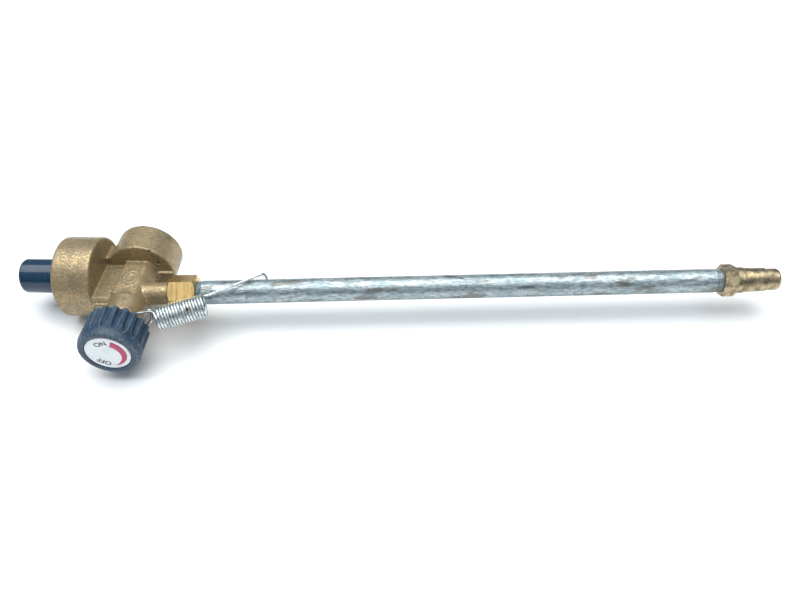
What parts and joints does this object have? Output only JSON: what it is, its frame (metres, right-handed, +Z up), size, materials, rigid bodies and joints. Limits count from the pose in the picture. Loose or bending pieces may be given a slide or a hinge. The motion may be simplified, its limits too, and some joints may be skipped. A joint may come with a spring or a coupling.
{
  "type": "propane torch",
  "caption": "Hand-held propane torch: valve head with regulator, knurled knob and cylinder socket, steel burner tube and brass nozzle.",
  "frame": {"origin": "centre of the cylinder socket's mouth", "axes": "+Y out of the cylinder socket, towards the gas cylinder; +X along the burner tube towards the nozzle; +Z up with the torch lying on its side"},
  "size_m": [0.3277, 0.0624, 0.0346],
  "materials": {
    "cast_brass": "sand cast, dull",
    "brass_machined": "machined, bright",
    "nozzle_brass": "heat dulled",
    "sintered_bronze": "sintered",
    "spring_steel": "drawn wire",
    "plated_steel": "zinc plated",
    "galvanised_steel": "galvanised",
    "spring_wire": "zinc coated wire",
    "rubber_black": "matte",
    "bonnet_plastic": "moulded, glossy",
    "knob_plastic": "moulded, satin",
    "label_sheet": "printed"
  },
  "bodies": {
    "torch": {"valve_body": "cast_brass", "inlet_probe": "brass_machined", "depressor_pin": "spring_steel", "inlet_filter": "sintered_bronze", "inlet_seal": "rubber_black", "regulator_bonnet": "bonnet_plastic", "adjusting_screw": "brass_machined", "spring_button": "brass_machined", "regulator_spring": "spring_steel", "slip_ring": "plated_steel", "diaphragm": "rubber_black", "regulator_seat": "brass_machined", "poppet_spring": "spring_steel", "gland_nut": "brass_machined", "stem_packing": "rubber_black", "outlet_hex": "brass_machined", "burner_tube": "galvanised_steel", "gas_jet": "brass_machined", "burner_nozzle": "nozzle_brass"},
    "knob": {"knob": "knob_plastic", "knob_screw": "plated_steel", "knob_label": "label_sheet", "valve_stem": "brass_machined"},
    "plunger": {"valve_plunger": "brass_machined", "plunger_disc": "rubber_black"},
    "regulator_train": {"diaphragm_plate": "plated_steel", "push_pin": "brass_machined", "poppet": "brass_machined", "poppet_disc": "rubber_black"},
    "tie_spring": {"spring_eye": "spring_wire", "spring_coil": "spring_wire"},
    "spring_leg": {"spring_hook": "spring_wire"}
  },
  "joints": [
    {"name": "knob_turn", "type": "hinge", "parent": "torch", "child": "knob", "pos_m": [0, -0.0624, 0], "axis": [0, -1, 0], "range_deg": [0, 270]},
    {"name": "plunger_lift", "type": "slide", "parent": "torch", "child": "plunger", "axis": [0, -1, 0], "range_m": [0, 0.0008]},
    {"name": "regulator_stroke", "type": "slide", "parent": "torch", "child": "regulator_train", "axis": [-1, 0, 0], "range_m": [0, 0.0008], "stiffness_N_per_m": 4000, "deforming": ["regulator_spring", "diaphragm", "poppet_spring"]},
    {"name": "spring_swing", "type": "hinge", "parent": "torch", "child": "tie_spring", "pos_m": [0, -0.0461, 0], "axis": [0, -1, 0], "range_deg": [0, 120]},
    {"name": "spring_stretch", "type": "slide", "parent": "tie_spring", "child": "spring_leg", "axis": [0.9986, 0.0537, 0], "range_m": [0, 0.012], "stiffness_N_per_m": 2000, "deforming": ["spring_coil"]}
  ],
  "couplings": [
    {"joint": "plunger_lift", "follows": "knob_turn", "m_per_rad": 0.00015915}
  ]
}
